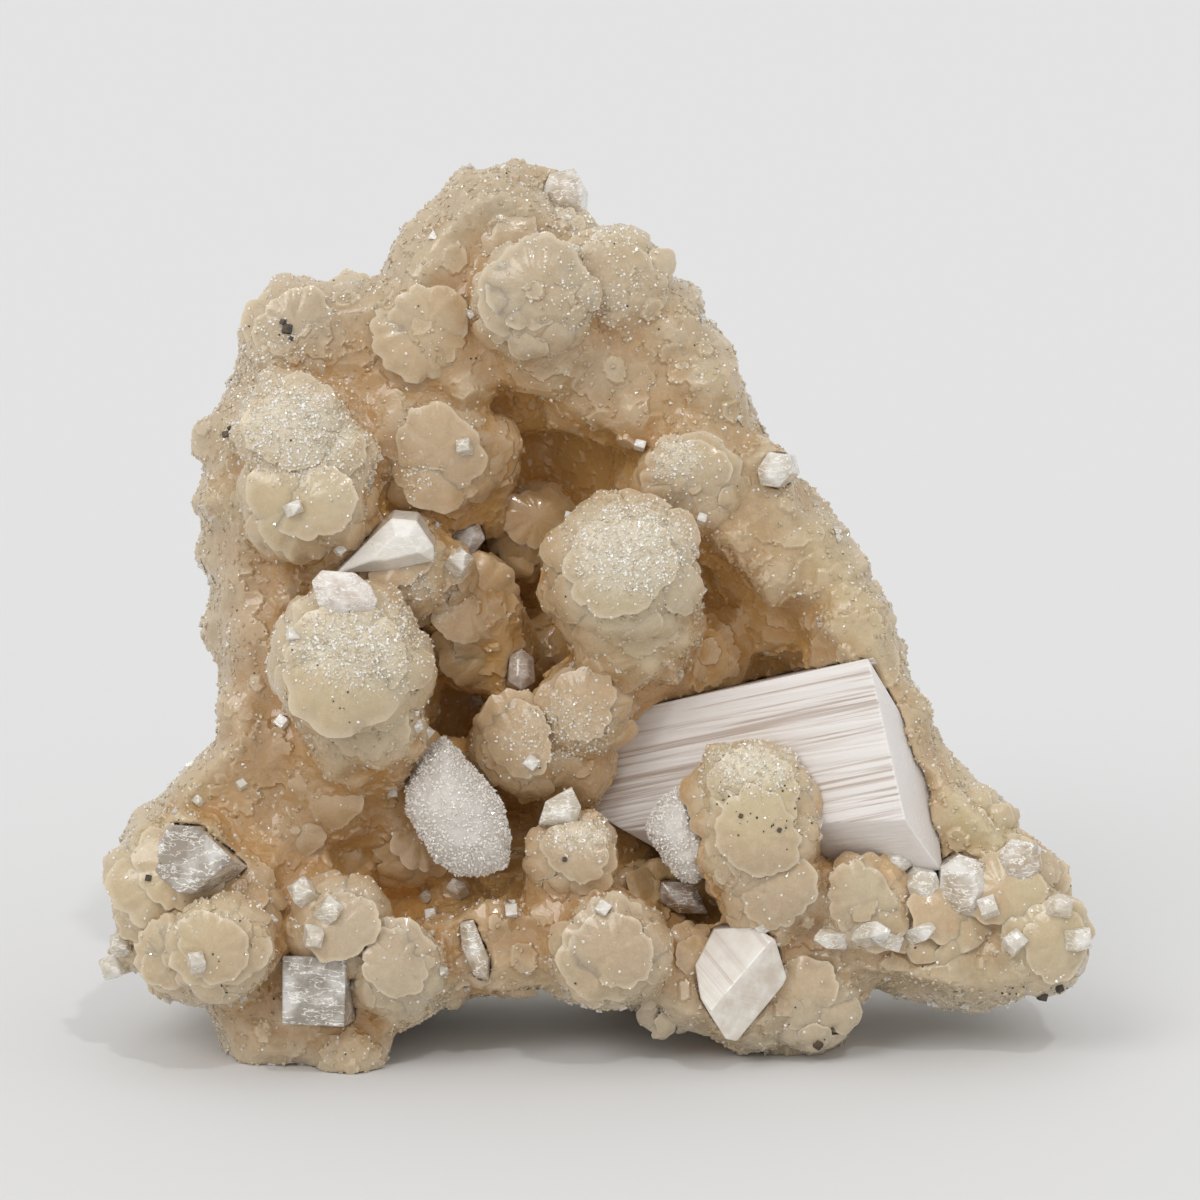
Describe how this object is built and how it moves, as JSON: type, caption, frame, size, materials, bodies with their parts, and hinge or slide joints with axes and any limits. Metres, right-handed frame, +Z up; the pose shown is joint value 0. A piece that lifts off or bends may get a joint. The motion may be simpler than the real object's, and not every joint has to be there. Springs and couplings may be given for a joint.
{
  "type": "mineral specimen",
  "caption": "Apophyllite cluster: hollow crust of cream druse in rosette lumps, with clear and white crystals, standing on its feet.",
  "frame": {"origin": "centre of the bounding box in X and Y, on the surface that the feet stand on", "axes": "+Z up, -Y towards the viewer of the open side, +X to the viewer's right"},
  "size_m": [0.0984, 0.0526, 0.0877],
  "materials": {
    "druse": "sugary, slightly translucent cream druse",
    "satin_apophyllite": "white, satin, striated",
    "white_druse": "white, finely granular",
    "clear_apophyllite": "clear to milky, polished faces"
  },
  "bodies": {
    "root": {"druse_crust": "druse", "large_prism": "satin_apophyllite", "clear_cube": "clear_apophyllite", "tilted_block": "clear_apophyllite", "striated_block": "satin_apophyllite", "left_spindle": "white_druse", "right_spindle": "white_druse", "pink_block": "clear_apophyllite", "clear_blade": "clear_apophyllite", "hexagonal_crystal": "clear_apophyllite", "pointed_plate": "clear_apophyllite", "amber_plate": "clear_apophyllite", "slender_crystal": "clear_apophyllite", "upright_crystal": "clear_apophyllite", "glassy_crystal_left": "clear_apophyllite", "glassy_crystal_right": "clear_apophyllite", "pale_block_left": "clear_apophyllite", "pale_block_right": "clear_apophyllite", "flashing_crystal": "clear_apophyllite", "top_plate": "clear_apophyllite"}
  },
  "joints": []
}
